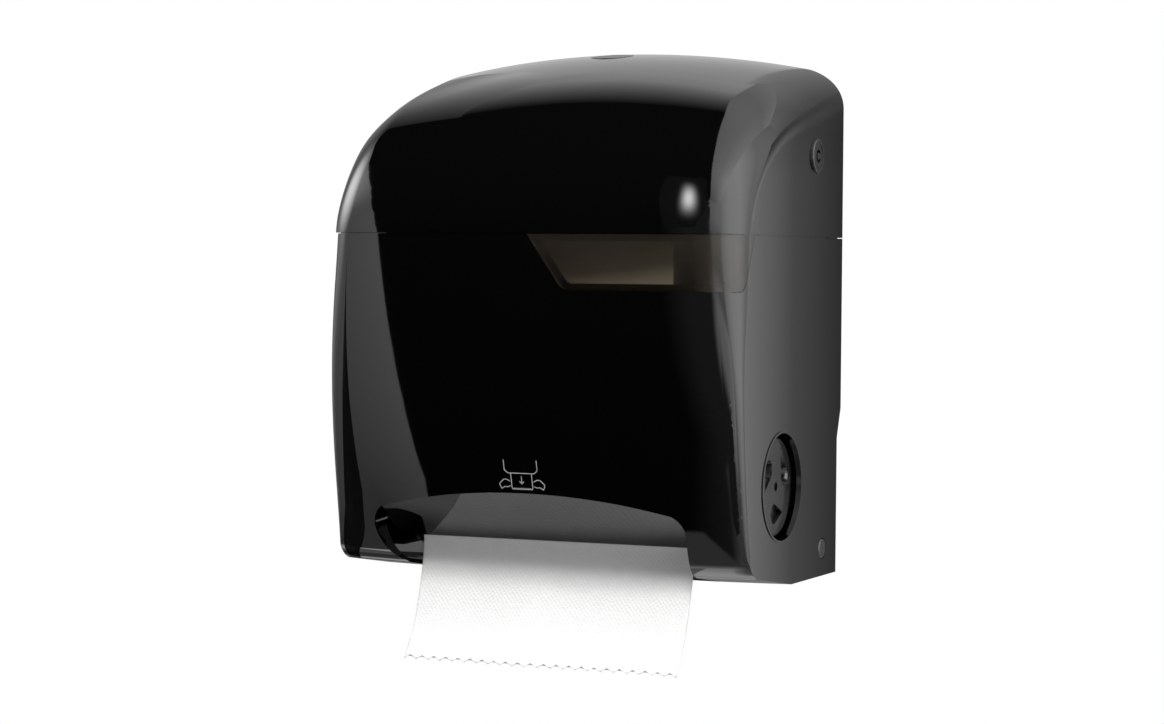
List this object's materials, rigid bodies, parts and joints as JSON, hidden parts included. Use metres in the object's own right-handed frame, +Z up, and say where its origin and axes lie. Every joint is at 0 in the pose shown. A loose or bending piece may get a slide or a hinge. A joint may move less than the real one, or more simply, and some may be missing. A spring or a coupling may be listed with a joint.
{
  "type": "roll towel dispenser",
  "caption": "Wall-mounted roll towel dispenser: glossy drop-down cover with a tinted window, side thumb wheel, key lock and a sheet hanging from the mouth of a self-cutting drum.",
  "frame": {"origin": "middle of the four wall screw slots, on the wall plane, level with the joint between the upper and lower cover shell", "axes": "+X right seen from the front, +Y into the wall, +Z up; the front faces -Y"},
  "size_m": [0.3088, 0.213, 0.4212],
  "materials": {
    "black_gloss": "glossy",
    "window_tint": "glossy",
    "button_black": "satin",
    "lock_plastic": "satin",
    "frame_plastic": "matt",
    "drum_plastic": "matt",
    "grip_rubber": "matt",
    "wheel_plastic": "satin",
    "steel": "brushed",
    "spring_steel": "satin",
    "paper": "soft",
    "card": "matt"
  },
  "bodies": {
    "housing": {"back_plate": "frame_plastic", "hinge_pin_right": "lock_plastic", "hinge_pin_left": "lock_plastic", "mech_side_left": "frame_plastic", "mech_side_right": "frame_plastic", "mech_screws": "steel", "rear_bridge": "frame_plastic", "tie_rod": "steel", "bush_left": "drum_plastic", "bush_right": "drum_plastic", "spring_post": "steel", "return_spring": "spring_steel", "cam_track": "drum_plastic", "trip_spring": "spring_steel", "roll_arm_right": "frame_plastic", "hub_right": "drum_plastic", "arm_bracket": "frame_plastic", "arm_pin": "steel", "arm_spring": "spring_steel", "lock_catch": "frame_plastic", "latch_tongue": "frame_plastic", "pinch_springs": "spring_steel", "towel_sheet": "paper"},
    "cover": {"cover_upper": "black_gloss", "cover_lower": "black_gloss", "window": "window_tint", "cover_screws": "steel", "lock_sleeve": "lock_plastic", "lock_nut": "frame_plastic", "button_spring": "spring_steel"},
    "lock": {"lock_plug": "lock_plastic", "lock_cam": "steel"},
    "button": {"release_button": "button_black", "button_retainer": "frame_plastic"},
    "drum": {"drum_front": "drum_plastic", "drum_rear": "drum_plastic", "grip_bands": "grip_rubber", "drum_shaft": "steel", "thumb_wheel": "wheel_plastic", "wheel_screw": "steel", "crank_disc": "drum_plastic"},
    "knife": {"knife_carrier": "drum_plastic", "knife_blade": "steel", "cam_follower": "drum_plastic"},
    "pinch_arm": {"pinch_frame": "frame_plastic"},
    "pinch": {"pinch_shaft": "steel", "pinch_rollers": "grip_rubber"},
    "roll": {"paper_roll": "paper", "roll_core": "card"},
    "left_arm": {"roll_arm_left": "frame_plastic", "hub_left": "drum_plastic"}
  },
  "joints": [
    {"name": "cover_swing", "type": "hinge", "parent": "housing", "child": "cover", "pos_m": [0, -0.037, -0.215], "axis": [1, 0, 0], "range_deg": [0, 90], "deforming": ["latch_tongue", "towel_sheet"]},
    {"name": "lock_turn", "type": "hinge", "parent": "cover", "child": "lock", "pos_m": [0.14, -0.0554, 0.0556], "axis": [1, 0, 0], "range_deg": [0, 90]},
    {"name": "button_press", "type": "slide", "parent": "cover", "child": "button", "axis": [0, 0.1599, -0.9871], "range_m": [0, 0.003], "stiffness_N_per_m": 800, "springref_m": -0.002, "deforming": ["button_spring", "latch_tongue"]},
    {"name": "drum_turn", "type": "hinge", "parent": "housing", "child": "drum", "pos_m": [0, -0.117, -0.167], "axis": [1, 0, 0], "continuous": true, "deforming": ["return_spring", "trip_spring", "towel_sheet"]},
    {"name": "knife_swing", "type": "hinge", "parent": "drum", "child": "knife", "pos_m": [0, -0.117, -0.143], "axis": [1, 0, 0], "range_deg": [0, 35], "stiffness_Nm_per_rad": 0.05, "springref_deg": -28.65, "deforming": ["trip_spring", "towel_sheet"]},
    {"name": "pinch_lift", "type": "hinge", "parent": "housing", "child": "pinch_arm", "pos_m": [0, -0.14, -0.116], "axis": [1, 0, 0], "range_deg": [-12, 0], "stiffness_Nm_per_rad": 2, "springref_deg": 11.46, "deforming": ["pinch_springs", "towel_sheet"]},
    {"name": "pinch_turn", "type": "hinge", "parent": "pinch_arm", "child": "pinch", "pos_m": [0, -0.15845, -0.13798], "axis": [1, 0, 0], "continuous": true},
    {"name": "roll_turn", "type": "hinge", "parent": "housing", "child": "roll", "pos_m": [0, -0.098, -0.018], "axis": [1, 0, 0], "continuous": true},
    {"name": "arm_swing", "type": "hinge", "parent": "housing", "child": "left_arm", "pos_m": [-0.117, -0.01, -0.018], "axis": [0, 0, -1], "range_deg": [0, 15], "stiffness_Nm_per_rad": 1, "springref_deg": -11.46, "deforming": ["arm_spring"]}
  ],
  "couplings": [
    {"joint": "pinch_turn", "follows": "drum_turn", "ratio": -4.1667},
    {"joint": "roll_turn", "follows": "drum_turn", "ratio": 0.4372}
  ]
}
